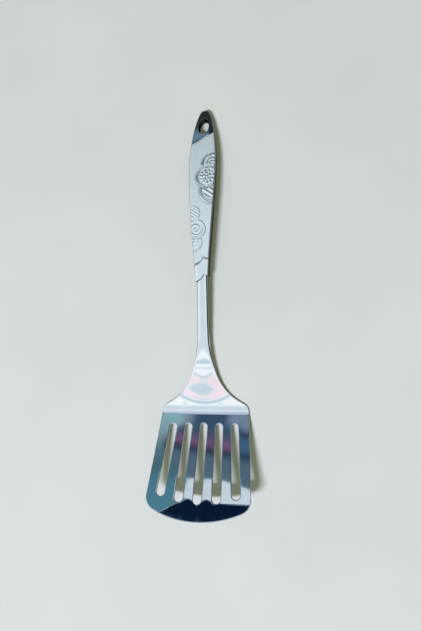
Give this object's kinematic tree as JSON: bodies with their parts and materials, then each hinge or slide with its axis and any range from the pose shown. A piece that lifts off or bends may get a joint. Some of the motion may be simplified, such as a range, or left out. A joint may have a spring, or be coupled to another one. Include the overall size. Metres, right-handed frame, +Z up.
{
  "type": "slotted turner",
  "caption": "Slotted kitchen turner pressed from stainless steel sheet, with a raised fan-shaped blade, a slim channel neck and a hollow welded handle with a hanging hole.",
  "frame": {"origin": "on the table, under the middle of the object's box", "axes": "+Y along the length towards the tip of the handle, +Z up from the table, +X to the right seen from above with the handle away from the viewer"},
  "size_m": [0.0874, 0.3514, 0.0306],
  "materials": {
    "polished_steel": "mirror polished stainless steel with fine wiping scratches",
    "satin_steel": "satin blasted stainless steel grip panel with polished ends",
    "polished_back_steel": "polished stainless steel",
    "weld_steel": "weld bead ground flush",
    "liner_steel": "polished stainless steel"
  },
  "bodies": {
    "root": {"blade": "polished_steel", "handle_front_shell": "satin_steel", "handle_back_shell": "polished_back_steel", "handle_seam_weld": "weld_steel", "hang_hole_liner": "liner_steel"}
  },
  "joints": []
}
